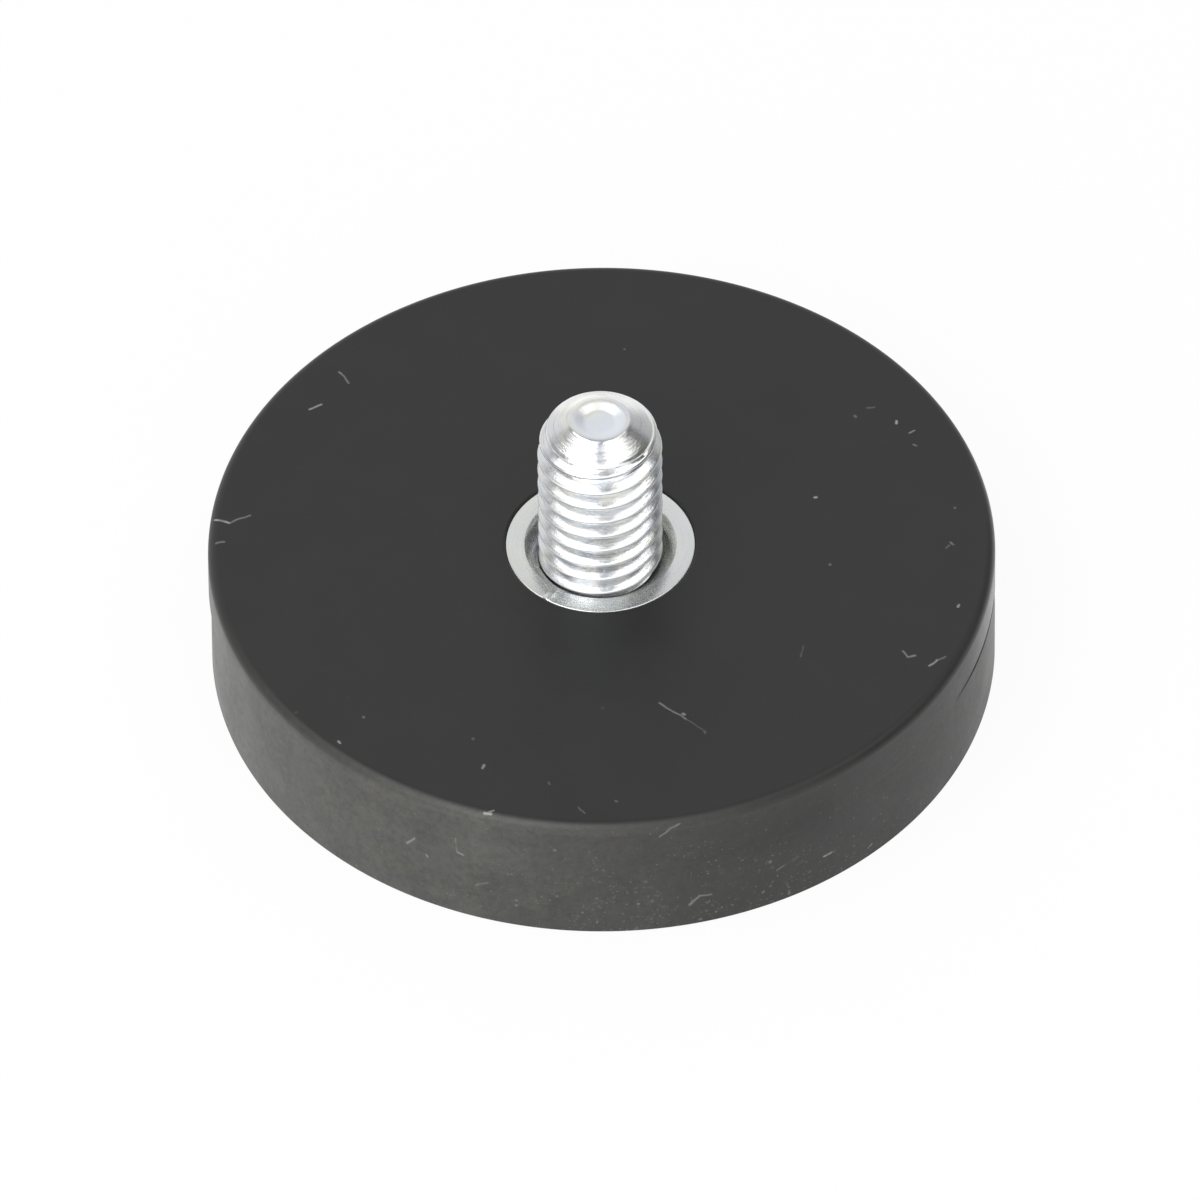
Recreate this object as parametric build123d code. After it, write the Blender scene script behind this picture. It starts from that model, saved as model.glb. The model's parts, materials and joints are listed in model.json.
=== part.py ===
from build123d import *
import os
from math import pi, radians, sin, sqrt, tan

# Rubber-coated pot magnet with a male threaded stud.
#
# A moulded rubber jacket holds a steel back plate, a ring of disc magnets under it and
# a flanged bush that stands through it. A headless stud is screwed into the bush.
#
# All sizes are in millimetres. The magnet face lies in z = 0 with its centre at the
# origin, and the stud points along +Z.

# Thread of the stud, M5 x 0.8
thread_diameter = 5.0
thread_pitch = 0.8
crest_allowance = 0.05       # how far the crests stay inside the nominal radius

# Stud: its crests are modelled as a cylinder where it stands out of the bush, and its
# engaged length as a cylinder of the pitch diameter
stud_projection = 7.0        # from the seat face to the tip

# Tip of the stud: the last turn of thread has not filled out, then come a cone, a flat
# land and a shallow dish
first_turn_draw = 0.25       # how much the last turn falls short of the crest radius
tip_cone_width = 1.0
tip_cone_height = 0.65
tip_land = 0.2
dish_slope_width = 0.4
dish_depth = 0.2

# Threaded bush, whose flange holds it under the back plate
countersink_width = 0.55     # from the thread's crest out to the countersink's edge
countersink_angle = 90.0     # full angle of the cone
bush_land = 0.75             # flat ring that shows around the countersink
bush_recess = 0.05           # how far that ring lies below the seat face
flange_width = 0.75          # how far the flange stands out from the bush's body
flange_thickness = 1.2
bush_floor = 1.0             # closed end of the bush, which the stud runs up against

# Disc magnets, in a ring under the back plate
magnet_count = 6
magnet_diameter = 8.0
magnet_thickness = 2.5
magnet_gap = 1.25            # least gap between neighbouring magnets
flange_gap = 0.5             # least gap between a magnet and the bush's flange

# Steel back plate
plate_thickness = 1.5
plate_margin = 0.75          # how far the plate reaches past the magnets

# Rubber jacket
side_wall = 1.5              # rubber around the back plate
face_skin = 0.7              # rubber under the magnets
seat_skin = 1.3              # rubber over the back plate
top_edge_radius = 0.4

# Mould: its two halves meet at the parting line and are a little out of line
parting_depth = 2.0          # parting line below the seat face
mould_shift = 0.09           # how far the lower half sits along +X
parting_draw = 0.06          # how much the lower half draws in up to the parting line
draw_height = 1.6            # height of side wall over which it draws in

# Diameters that follow
crest_diameter = thread_diameter - 2 * crest_allowance
pitch_diameter = thread_diameter - 3 * sqrt(3) / 8 * thread_pitch
cone_diameter = crest_diameter - 2 * first_turn_draw
tip_diameter = cone_diameter - 2 * tip_cone_width
dish_diameter = tip_diameter - 2 * tip_land
dish_floor_diameter = dish_diameter - 2 * dish_slope_width
countersink_diameter = crest_diameter + 2 * countersink_width
bush_diameter = countersink_diameter + 2 * bush_land
flange_diameter = bush_diameter + 2 * flange_width
circle_for_neighbours = (magnet_diameter + magnet_gap) / sin(pi / magnet_count)
circle_for_flange = flange_diameter + 2 * flange_gap + magnet_diameter
magnet_circle_diameter = max(circle_for_neighbours, circle_for_flange)
plate_diameter = magnet_circle_diameter + magnet_diameter + 2 * plate_margin
jacket_diameter = plate_diameter + 2 * side_wall

# Heights that follow, from the magnet face up
magnet_bottom = face_skin
plate_bottom = magnet_bottom + magnet_thickness
plate_top = plate_bottom + plate_thickness
seat_height = plate_top + seat_skin
parting_height = seat_height - parting_depth
bush_bottom = plate_bottom - flange_thickness
stud_bottom = bush_bottom + bush_floor
bush_face = seat_height - bush_recess
stud_top = seat_height + stud_projection
cone_bottom = stud_top - tip_cone_height
last_turn_bottom = cone_bottom - thread_pitch


def turned(points):
    """A solid of revolution about Z from the (radius, height) points of its half section."""
    with BuildPart() as piece:
        with BuildSketch(Plane.XZ):
            with BuildLine():
                Polyline(*points, close=True)
            make_face()
        revolve(axis=Axis.Z)
    return piece.part


def disc(diameter, bottom, thickness):
    """A plain disc centred on Z, with its underside at the given height."""
    on_bottom = (Align.CENTER, Align.CENTER, Align.MIN)
    return Pos(0, 0, bottom) * Cylinder(diameter / 2, thickness, align=on_bottom)


def make_back_plate():
    """The steel disc, with the hole that the bush's body stands in."""
    plate = disc(plate_diameter, plate_bottom, plate_thickness)
    return plate - disc(bush_diameter, plate_bottom, plate_thickness)


def make_magnets():
    """The disc magnets, evenly round the bush, against the underside of the plate."""
    one = disc(magnet_diameter, magnet_bottom, magnet_thickness)
    places = PolarLocations(magnet_circle_diameter / 2, magnet_count)
    return [place * one for place in places]


def make_bush_blank():
    """The bush before it is bored: flange under the plate, body up to the end face."""
    r_body = bush_diameter / 2
    r_flange = flange_diameter / 2
    return turned([
        (0, bush_bottom),
        (r_flange, bush_bottom),
        (r_flange, plate_bottom),
        (r_body, plate_bottom),
        (r_body, bush_face),
        (0, bush_face),
    ])


def make_bush_bore():
    """What is bored out of the bush: the blind hole for the stud and its countersink."""
    r_hole = pitch_diameter / 2
    r_mouth = countersink_diameter / 2
    cone_depth = (r_mouth - r_hole) / tan(radians(countersink_angle / 2))
    return turned([
        (0, stud_bottom),
        (r_hole, stud_bottom),
        (r_hole, bush_face - cone_depth),
        (r_mouth, bush_face),
        (0, bush_face),
    ])


def make_stud():
    """The headless stud, from its inner end in the bush to its dished tip."""
    r_crest = crest_diameter / 2
    r_pitch = pitch_diameter / 2
    return turned([
        (0, stud_bottom),
        (r_pitch, stud_bottom),
        (r_pitch, bush_face),
        (r_crest, bush_face),
        (r_crest, last_turn_bottom),
        (cone_diameter / 2, cone_bottom),
        (tip_diameter / 2, stud_top),
        (dish_diameter / 2, stud_top),
        (dish_floor_diameter / 2, stud_top - dish_depth),
        (0, stud_top - dish_depth),
    ])


def make_upper_half():
    """The rubber that the upper mould half forms, down to the parting line."""
    half = disc(jacket_diameter, parting_height, parting_depth)
    rim = half.edges().group_by(Axis.Z)[-1]
    return fillet(rim, top_edge_radius)


def make_lower_half():
    """The rubber that the lower mould half forms, out of line with the upper half."""
    radius = jacket_diameter / 2
    half = turned([
        (0, 0),
        (radius, 0),
        (radius, parting_height - draw_height),
        (radius - parting_draw, parting_height),
        (0, parting_height),
    ])
    return Pos(mould_shift, 0, 0) * half


def make_mouth():
    """The round hole in the seat face that the bush shows through."""
    return disc(bush_diameter, plate_top, seat_skin)


def make_jacket(inserts):
    """The moulded jacket: one body of rubber around the pieces moulded into it."""
    jacket = make_upper_half() + make_lower_half() - make_mouth()
    for insert in inserts:
        jacket -= insert
    return jacket


def main():
    back_plate = make_back_plate()
    magnets = make_magnets()
    bush_blank = make_bush_blank()

    pieces = {
        "rubber_jacket": make_jacket([back_plate, bush_blank, *magnets]),
        "back_plate": back_plate,
        "threaded_bush": bush_blank - make_bush_bore(),
        "threaded_stud": make_stud(),
    }
    for number, magnet in enumerate(magnets, start=1):
        pieces[f"magnet_{number}"] = magnet

    os.makedirs("parts", exist_ok=True)
    for name, piece in pieces.items():
        export_step(piece, f"parts/{name}.step")


main()
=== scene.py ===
import json
import math

import bmesh
import bpy
from mathutils import Matrix, Vector

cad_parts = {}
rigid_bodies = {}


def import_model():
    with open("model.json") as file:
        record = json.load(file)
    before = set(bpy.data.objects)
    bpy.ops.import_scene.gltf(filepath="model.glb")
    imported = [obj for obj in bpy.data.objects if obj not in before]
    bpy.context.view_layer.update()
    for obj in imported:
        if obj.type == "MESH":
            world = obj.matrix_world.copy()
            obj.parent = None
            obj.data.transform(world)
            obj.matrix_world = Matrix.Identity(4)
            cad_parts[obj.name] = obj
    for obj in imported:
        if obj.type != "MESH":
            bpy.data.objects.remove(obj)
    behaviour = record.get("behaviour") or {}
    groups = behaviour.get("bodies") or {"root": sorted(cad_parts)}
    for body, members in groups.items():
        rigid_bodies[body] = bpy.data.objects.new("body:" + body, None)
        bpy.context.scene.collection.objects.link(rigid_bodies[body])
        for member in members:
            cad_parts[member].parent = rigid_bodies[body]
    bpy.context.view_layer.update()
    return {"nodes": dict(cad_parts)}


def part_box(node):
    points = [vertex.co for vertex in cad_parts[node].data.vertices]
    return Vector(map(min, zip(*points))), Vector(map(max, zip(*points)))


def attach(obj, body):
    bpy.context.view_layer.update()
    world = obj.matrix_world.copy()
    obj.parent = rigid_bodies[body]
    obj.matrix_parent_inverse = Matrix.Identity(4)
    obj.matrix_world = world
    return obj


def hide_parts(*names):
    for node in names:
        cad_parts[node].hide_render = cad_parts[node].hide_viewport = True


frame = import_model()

# The pieces are modelled in millimetres and brought to metres when they are finished.
mm = 0.001
tiny = 0.001  # mm, less than any step of the model
mergeDistance = 0.0005  # mm


def boxInMm(node):
    low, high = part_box(node)
    return low / mm, high / mm


# modelling by hand, on the piece that is active and on what is selected in it

def clearSelection():
    for item in bpy.context.view_layer.objects:
        item.select_set(False)


def makeOnly(piece):
    clearSelection()
    piece.select_set(True)
    bpy.context.view_layer.objects.active = piece


def nameNew(name):
    piece = bpy.context.object
    piece.name = name
    piece.data.name = name
    bpy.ops.object.transform_apply(location=True, rotation=True, scale=True)
    return piece


def addCylinder(name, radius, bottom, top, sides):
    clearSelection()
    bpy.ops.mesh.primitive_cylinder_add(
        vertices=sides, radius=radius, depth=top - bottom, location=(0, 0, (top + bottom) / 2))
    return nameNew(name)


def openForEditing(piece, mode):
    makeOnly(piece)
    bpy.ops.object.mode_set(mode="EDIT")
    bpy.ops.mesh.select_mode(type=mode)
    bpy.ops.mesh.select_all(action="DESELECT")


def doneEditing():
    bpy.ops.object.mode_set(mode="OBJECT")


def pick(kind, test):
    # selects the verts, edges or faces of the mesh being edited that pass the test
    bpy.ops.mesh.select_all(action="DESELECT")
    mesh = bmesh.from_edit_mesh(bpy.context.object.data)
    for part in getattr(mesh, kind):
        if test(part):
            part.select_set(True)
    mesh.select_flush_mode()
    bmesh.update_edit_mesh(bpy.context.object.data)


def near(value, wanted, slack=0.002):
    return abs(value - wanted) < slack


def ringRadius(point):
    return math.hypot(point.x, point.y)


def isRing(edge, radius, height, slack=0.004):
    # whether the edge lies along the circle of that radius at that height
    return all(near(v.co.z, height, slack) and near(ringRadius(v.co), radius, slack) for v in edge.verts)


def isLevel(face, height, leastNormal=0.99):
    return abs(face.normal.z) > leastNormal and near(face.calc_center_median().z, height)


def slide(x=0.0, y=0.0, z=0.0):
    bpy.ops.transform.translate(value=(x, y, z))


def scaleRound(factor):
    bpy.ops.transform.resize(value=(factor, factor, 1), center_override=(0, 0, 0))


def insetTo(radiusNow, radiusNew, drop=0.0):
    # insets the picked round face and lowers it by drop
    bpy.ops.mesh.extrude_region_move()
    scaleRound(radiusNew / radiusNow)
    if drop:
        slide(z=-drop)


def bevelRing(radius, height, width, steps):
    pick("edges", lambda e: isRing(e, radius, height))
    bpy.ops.mesh.bevel(offset=width, segments=steps, profile=0.5)


def cutLevel(height):
    # adds a ring of edges round the whole mesh
    bpy.ops.mesh.select_all(action="SELECT")
    bpy.ops.mesh.bisect(plane_co=(0, 0, height), plane_no=(0, 0, 1))


def applyBoolean(piece, cutter, operation):
    makeOnly(piece)
    cut = piece.modifiers.new(operation.lower(), "BOOLEAN")
    cut.operation = operation
    cut.solver = "EXACT"
    cut.object = cutter
    bpy.ops.object.modifier_apply(modifier=cut.name)


def removeObject(item):
    mesh = item.data
    bpy.data.objects.remove(item)
    bpy.data.meshes.remove(mesh)


def finishPiece(piece, material, node, sharpAngle):
    # brings the piece to metres, gives it its material, hangs it on the root body and hides the node it
    # replaces
    makeOnly(piece)
    bpy.ops.object.mode_set(mode="EDIT")
    bpy.ops.mesh.select_all(action="SELECT")
    bpy.ops.mesh.remove_doubles(threshold=mergeDistance)
    bpy.ops.mesh.normals_make_consistent(inside=False)
    bpy.ops.object.mode_set(mode="OBJECT")
    bpy.ops.transform.resize(value=(mm, mm, mm), center_override=(0, 0, 0))
    bpy.ops.object.transform_apply(location=True, rotation=True, scale=True)
    bpy.ops.object.shade_smooth_by_angle(angle=math.radians(sharpAngle))
    even = piece.modifiers.new("evenNormals", "WEIGHTED_NORMAL")
    even.keep_sharp = True
    bpy.ops.object.modifier_apply(modifier=even.name)
    piece.data.materials.clear()
    piece.data.materials.append(material)
    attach(piece, "root")
    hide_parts(node)


# short ways to add shader nodes and link them

def newMaterial(name):
    material = bpy.data.materials.new(name)
    material.use_nodes = True
    tree = material.node_tree
    tree.nodes.clear()
    return material, tree


def addNode(tree, kind, links=None, **settings):
    # links gives each input, by its name or number, the socket or the plain value that feeds it
    node = tree.nodes.new(kind)
    for key, value in settings.items():
        setattr(node, key, value)
    for key, value in (links or {}).items():
        if isinstance(value, bpy.types.NodeSocket):
            tree.links.new(value, node.inputs[key])
        else:
            node.inputs[key].default_value = value
    return node


def maths(tree, operation, *values, clamp=False):
    node = addNode(tree, "ShaderNodeMath", dict(enumerate(values)), operation=operation, use_clamp=clamp)
    return node.outputs[0]


def vectorMaths(tree, operation, *values, output="Vector"):
    node = addNode(tree, "ShaderNodeVectorMath", dict(enumerate(values)), operation=operation)
    return node.outputs[output]


def scaled(tree, vector, factor):
    return addNode(tree, "ShaderNodeVectorMath", {0: vector, 3: factor}, operation="SCALE").outputs[0]


def axesOf(tree, vector):
    return addNode(tree, "ShaderNodeSeparateXYZ", {0: vector}).outputs


def joined(tree, *values):
    return addNode(tree, "ShaderNodeCombineXYZ", dict(enumerate(values))).outputs[0]


def spread(tree, value, fromLow, fromHigh, toLow=0.0, toHigh=1.0):
    links = {"Value": value, "From Min": fromLow, "From Max": fromHigh, "To Min": toLow, "To Max": toHigh}
    return addNode(tree, "ShaderNodeMapRange", links, clamp=True).outputs["Result"]


def noise(tree, vector, scale, detail=3.0, roughness=0.55, output="Fac"):
    links = {"Vector": vector, "Scale": scale, "Detail": detail, "Roughness": roughness}
    return addNode(tree, "ShaderNodeTexNoise", links).outputs[output]


def wander(tree, vector, *noiseValues):
    # a vector that changes over the surface, and is zero on average
    drift = noise(tree, vector, *noiseValues, output="Color")
    return vectorMaths(tree, "SUBTRACT", drift, (0.5, 0.5, 0.5))


def mixColours(tree, fac, first, second):
    return addNode(tree, "ShaderNodeMix", {0: fac, 6: first, 7: second}, data_type="RGBA").outputs[2]


def bumped(tree, height, depth, under=None):
    # a bump of that depth in mm, on top of the one that is given
    links = {"Strength": 1.0, "Distance": depth * mm, "Height": height}
    if under is not None:
        links["Normal"] = under
    return addNode(tree, "ShaderNodeBump", links).outputs[0]


def placeInMm(tree):
    # the piece's own coordinates in millimetres
    return scaled(tree, addNode(tree, "ShaderNodeTexCoord").outputs["Object"], 1 / mm)


def finishMetal(tree, colour, rough, normal):
    shader = addNode(tree, "ShaderNodeBsdfPrincipled", {
        "Base Color": colour, "Metallic": 1.0, "Roughness": rough, "Normal": normal})
    addNode(tree, "ShaderNodeOutputMaterial", {"Surface": shader.outputs[0]})


def newGroup(name, inputs, outputs):
    group = bpy.data.node_groups.new(name, "ShaderNodeTree")
    for label, kind, value in inputs:
        socket = group.interface.new_socket(name=label, in_out="INPUT", socket_type=kind)
        if value is not None:
            socket.default_value = value
    for label, kind in outputs:
        group.interface.new_socket(name=label, in_out="OUTPUT", socket_type=kind)
    entry = group.nodes.new("NodeGroupInput")
    leave = group.nodes.new("NodeGroupOutput")
    return group, entry.outputs, leave.inputs


def useGroup(tree, group, links):
    return addNode(tree, "ShaderNodeGroup", links, node_tree=group).outputs


floatSocket, vectorSocket = "NodeSocketFloat", "NodeSocketVector"

dust = {
    "bendNoise": (9.0, 2.0),  # scale and detail of what bends the specks' outlines ...
    "bend": 0.12,  # ... and how far, from side to side
    "sizes": (0.4, 1.0),  # smallest and largest speck, as shares of Size
    "softEdge": 0.55,  # share of a speck's radius from which it fades
    "strengths": (0.3, 1.0),  # palest and strongest speck
}


def makeDustGroup():
    # scattered specks: one for each cell whose random value passes the density
    group, given, made = newGroup("looseDust", [
        ("Vector", vectorSocket, None), ("Scale", floatSocket, 1.0),
        ("Density", floatSocket, 0.1), ("Size", floatSocket, 0.1)], [("Mask", floatSocket)])
    bend = scaled(group, wander(group, given["Vector"], *dust["bendNoise"]), dust["bend"])
    place = vectorMaths(group, "ADD", given["Vector"], bend)
    cells = addNode(group, "ShaderNodeTexVoronoi", {"Vector": place, "Scale": given["Scale"]})
    chance = addNode(group, "ShaderNodeSeparateColor", {0: cells.outputs["Color"]}).outputs
    kept = maths(group, "LESS_THAN", chance[0], given["Density"])
    reach = maths(group, "MULTIPLY", given["Size"], spread(group, chance[1], 0.0, 1.0, *dust["sizes"]))
    inside = maths(group, "DIVIDE", cells.outputs["Distance"], reach)
    speck = spread(group, inside, 1.0, dust["softEdge"])
    strength = spread(group, chance[2], 0.0, 1.0, *dust["strengths"])
    mask = maths(group, "MULTIPLY", maths(group, "MULTIPLY", speck, kept), strength)
    group.links.new(mask, made["Mask"])
    return group


def makeLintGroup():
    # one straight fibre that lies on the surface
    core = 0.35  # share of its width that is at full strength
    group, given, made = newGroup("lintFibre", [
        ("Vector", vectorSocket, None), ("From", vectorSocket, (0, 0, 0)), ("To", vectorSocket, (1, 0, 0)),
        ("Width", floatSocket, 0.05)], [("Mask", floatSocket)])
    along = vectorMaths(group, "SUBTRACT", given["To"], given["From"])
    out = vectorMaths(group, "SUBTRACT", given["Vector"], given["From"])
    length = vectorMaths(group, "DOT_PRODUCT", along, along, output="Value")
    share = vectorMaths(group, "DOT_PRODUCT", out, along, output="Value")
    share = maths(group, "DIVIDE", share, length, clamp=True)
    away = vectorMaths(group, "DISTANCE", out, scaled(group, along, share), output="Value")
    full = maths(group, "MULTIPLY", given["Width"], core)
    group.links.new(spread(group, away, given["Width"], full), made["Mask"])
    return group


def makeTurnedGroup():
    # tool marks that run round Z: a noise that changes fast with radius and height, and slowly
    # round the turn
    group, given, made = newGroup("turnedRings", [
        ("Vector", vectorSocket, None), ("Scale", floatSocket, 20.0), ("Rise", floatSocket, 0.0),
        ("Breakup", floatSocket, 0.1)], [("Height", floatSocket)])
    x, y, z = axesOf(group, given["Vector"])
    flat = joined(group, x, y)
    radius = vectorMaths(group, "LENGTH", flat, output="Value")
    fast = maths(group, "MULTIPLY_ADD", z, given["Rise"], radius)
    around = axesOf(group, scaled(group, flat, given["Breakup"]))
    place = joined(group, fast, around[0], around[1])
    group.links.new(noise(group, place, given["Scale"]), made["Height"])
    return group


dustGroup = makeDustGroup()
lintGroup = makeLintGroup()
turnedGroup = makeTurnedGroup()

# Moulded rubber. A noise is given by its scale per mm, its detail and its roughness.
rubberLook = {
    "colour": (0.0095, 0.0095, 0.0093, 1),
    "paleColour": (0.0130, 0.0130, 0.0126, 1),
    "cloudNoise": (0.35, 4.0, 0.6),  # where the rubber is paler
    "cloudRange": (0.3, 0.7),
    "roughness": (0.42, 0.50),
    "sheen": 0.05,  # dust too fine to see, which pales the rims
    "sheenRoughness": 0.35,
    "grainNoise": (9.0, 4.0, 0.7),
    "grainDepth": 0.007,  # mm

    "dustAndLightColour": (0.055, 0.055, 0.052, 1),  # fine dust rubbed into the side wall, and painted light where more light falls ...
    "warmDustAndLightColour": (0.061, 0.060, 0.051, 1),  # ... warmer in patches
    "warmNoise": (0.9, 3.0),
    "warmRange": (0.42, 0.60),
    "dustAndLightStart": (5.74, 5.58),  # height below which it begins (higher except on the right, a painted highlight on the rounded edge), left and right ...
    "dustAndLightStartSides": (9.0, 14.0),  # ... of these x
    "frontRise": 0.22,  # it begins higher at the front, painting a highlight on the rounded edge, by this much ...
    "frontSides": (-11.5, -14.5),  # ... over these y
    "dustAndLightFade": 0.42,  # height over which it grows full
    "mottleNoise": (3.2, 5.0, 0.85),
    "mottleRange": (0.30, 0.70),
    "mottle": (0.40, 1.35),
    "patchNoise": (0.5, 3.0),
    "patchRange": (0.35, 0.65),
    "patches": (0.72, 1.12),
    "shadedSide": (0.643, -0.766, 0.0),  # towards this side the haze is left off, a painted shade ...
    "shadedSideRange": (0.55, 0.99),
    "shadedSideShare": 0.13,  # ... and this share is left

    "edgeHighlight": (0.03, 0.17),  # a painted highlight on the rounded edge ...
    "edgeHighlightSide": (-0.42, -0.91, 0.0),  # ... most of it on this side ...
    "edgeHighlightRange": (0.65, 1.0),
    "edgeHighlightTop": (5.99, 5.92),  # ... between these heights
    "edgeHighlightBottom": (5.42, 5.66),
    "edgeHighlightMottle": (0.5, 1.2),

    "partingStep": (4.18, 4.01),  # the parting line is a step at this height, darkened by painted shade ...
    "partingDepth": 0.15,  # ... of this depth in mm ...
    "partingRise": (1.0, 3.9),  # ... to which the wall below rises over these heights ...
    "partingSlope": (13.9, 15.2),  # ... and that grows slowly between these x
    "partingEdge": 0.1,  # softness of the line's own edges
    "partingSide": (13.95, 14.65),  # the line itself fades in over these x
    "polishedSide": (14.4, 15.4),  # the upper half is rubbed smooth over these x ...
    "polishedAbove": (4.15, 4.25),  # ... above this height

    # pale dust, whose colour also paints the highlight on the rounded edge
    "dustAndHighlightColour": (0.190, 0.187, 0.165, 1),
    "coarseSpecks": (3.2, 0.55, 0.34, 0.6),  # scale, density, size in its cell, how pale
    "fineSpecks": (7.5, 0.85, 0.50, 0.4),
    "topSpecks": (1.0, 0.05, 0.10, 0.5),
    "speckedHeights": (5.0, 0.8, 0.15, 1.0),  # the wall has more specks lower down ...
    "specked": (0.26, -0.966, 0.0),  # ... and towards this side ...
    "speckedRange": (0.75, 0.97, 0.15, 1.0),
    "crowdNoise": (0.9, 3.0),  # ... in crowds
    "crowdRange": (0.42, 0.60, 0.10, 1.0),
    "lintColour": (0.30, 0.30, 0.285, 1),
    "lintBendNoise": (1.8, 1.0),
    "lintBend": 0.16,  # mm from side to side

    "changedRoughness": {"dustedAndLit": -0.07, "shadedSide": 0.10, "polished": -0.16, "parting": 0.35, "dusty": 0.3},
}

# lint on the top face and the side wall: from, to, width in mm, and how pale it is
lint = {
    "rimHair": ((-15.29, 1.50, 5.95), (-14.67, 1.26, 6.0), 0.070, 0.90),
    "rimHairBack": ((-14.67, 1.26, 6.0), (-13.85, 1.65, 6.0), 0.065, 0.40),
    "rimCurl": ((-15.14, 0.12, 6.0), (-14.86, 0.20, 6.0), 0.070, 0.40),
    "arc": ((-10.33, 9.53, 6.0), (-10.11, 9.31, 6.0), 0.065, 0.50),
    "arcEnd": ((-10.11, 9.31, 6.0), (-9.94, 8.94, 6.0), 0.065, 0.40),
    "leftDash": ((-11.50, 7.49, 6.0), (-11.03, 7.78, 6.0), 0.065, 0.70),
    "backSpeck": ((10.12, 6.90, 6.0), (10.16, 6.85, 6.0), 0.090, 0.30),
    "backDash": ((10.61, 7.34, 6.0), (10.88, 7.36, 6.0), 0.055, 0.25),
    "brightSpeck": ((11.77, 6.61, 6.0), (11.76, 6.47, 6.0), 0.080, 0.90),
    "rightDash": ((12.25, 5.94, 6.0), (12.47, 6.07, 6.0), 0.055, 0.50),
    "rightSpeck": ((12.46, 5.30, 6.0), (12.54, 5.24, 6.0), 0.070, 0.40),
    "brightDot": ((8.51, 2.44, 6.0), (8.55, 2.44, 6.0), 0.090, 1.00),
    "edgeSpeck": ((14.07, -3.64, 6.0), (14.13, -3.56, 6.0), 0.065, 0.70),
    "hookLeft": ((11.87, -6.05, 6.0), (12.02, -6.38, 6.0), 0.060, 0.40),
    "hookRight": ((12.02, -6.38, 6.0), (12.34, -6.30, 6.0), 0.065, 0.50),
    "edgeDash": ((12.88, -6.88, 6.0), (13.20, -6.56, 6.0), 0.065, 0.65),
    "edgeDashEnd": ((13.20, -6.56, 6.0), (13.52, -6.38, 6.0), 0.055, 0.30),
    "tickLeft": ((13.64, -0.42, 6.0), (13.78, -0.26, 6.0), 0.055, 0.30),
    "tickRight": ((13.81, -0.09, 6.0), (13.96, -0.24, 6.0), 0.060, 0.40),
    "longHair": ((2.25, -8.80, 6.0), (3.34, -9.67, 6.0), 0.060, 0.40),
    "longHairEnd": ((3.34, -9.67, 6.0), (4.09, -10.38, 6.0), 0.050, 0.15),
    "hairKnot": ((3.19, -9.40, 6.0), (3.27, -9.45, 6.0), 0.080, 0.60),
    "frontSpeck": ((-4.69, -12.25, 6.0), (-4.61, -12.11, 6.0), 0.080, 0.60),
    "rightStreak": ((7.94, -5.74, 6.0), (7.87, -6.30, 6.0), 0.055, 0.16),
    "hairEndDot": ((4.03, -10.38, 6.0), (4.05, -10.44, 6.0), 0.070, 0.20),
    "leftSpeck": ((-10.33, -10.78, 6.0), (-10.28, -10.86, 6.0), 0.075, 0.70),
    "leftFleck": ((-10.68, -11.64, 6.0), (-10.55, -11.72, 6.0), 0.070, 0.40),
    "leftDot": ((-9.35, -9.43, 6.0), (-9.33, -9.49, 6.0), 0.075, 0.30),
    "edgeDot": ((-11.52, -10.20, 6.0), (-11.48, -10.25, 6.0), 0.080, 0.30),
    "faintDot": ((-5.05, -10.62, 6.0), (-5.02, -10.67, 6.0), 0.075, 0.22),
    "faintFleck": ((-2.08, -13.09, 6.0), (-2.06, -13.17, 6.0), 0.070, 0.20),
    "frontDot": ((0.52, -14.08, 6.0), (0.58, -14.09, 6.0), 0.075, 0.25),
    "frontDash": ((-0.92, -14.38, 6.0), (-0.72, -14.70, 6.0), 0.060, 0.22),
    "edgeChip": ((-4.60, -14.64, 5.93), (-4.38, -14.70, 5.93), 0.095, 0.90),
    "edgeChipEnd": ((-4.42, -14.58, 5.95), (-4.26, -14.52, 5.97), 0.060, 0.60),
    "wallDash": ((8.66, -12.87, 1.52), (9.10, -12.56, 1.54), 0.080, 1.00),
    "wallHair": ((6.83, -13.93, 1.85), (7.65, -13.49, 2.14), 0.070, 0.30),
    "wallTick": ((10.42, -11.53, 0.54), (10.58, -11.38, 0.63), 0.075, 0.55),
    "wallCurl": ((2.25, -15.33, 5.24), (2.72, -15.25, 5.67), 0.060, 0.35),
    "wallCurlEnd": ((2.72, -15.25, 5.67), (3.31, -15.13, 5.93), 0.055, 0.35),
    "wallCluster": ((3.40, -15.13, 1.15), (3.80, -15.04, 1.56), 0.080, 0.40),
    "wallClusterEnd": ((3.80, -15.04, 1.56), (4.25, -14.91, 1.53), 0.070, 0.35),
    "wallLint": ((-7.72, -13.44, 3.02), (-7.40, -13.62, 3.43), 0.070, 0.50),
    "wallFleck": ((-5.71, -14.41, 3.45), (-5.48, -14.50, 3.40), 0.070, 0.45),
    "wallHook": ((-5.78, -14.38, 4.25), (-5.70, -14.41, 3.40), 0.055, 0.25),
    "wallDot": ((-8.82, -12.74, 3.03), (-8.78, -12.77, 2.97), 0.080, 0.55),
    "wallSpot": ((-6.92, -13.85, 2.76), (-6.88, -13.87, 2.67), 0.085, 0.55),
    "wallStreak": ((-5.00, -14.66, 1.83), (-4.54, -14.82, 2.16), 0.070, 0.25),
}


def towardsSide(tree, outward, side, *limits):
    return spread(tree, vectorMaths(tree, "DOT_PRODUCT", outward, side, output="Value"), *limits)


def addSpecks(tree, place, specks, crowd=None):
    scale, density, size, pale = specks
    if crowd is not None:
        density = maths(tree, "MULTIPLY", crowd, density)
    links = {"Vector": place, "Scale": scale, "Density": density, "Size": size}
    return maths(tree, "MULTIPLY", useGroup(tree, dustGroup, links)["Mask"], pale)


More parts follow.
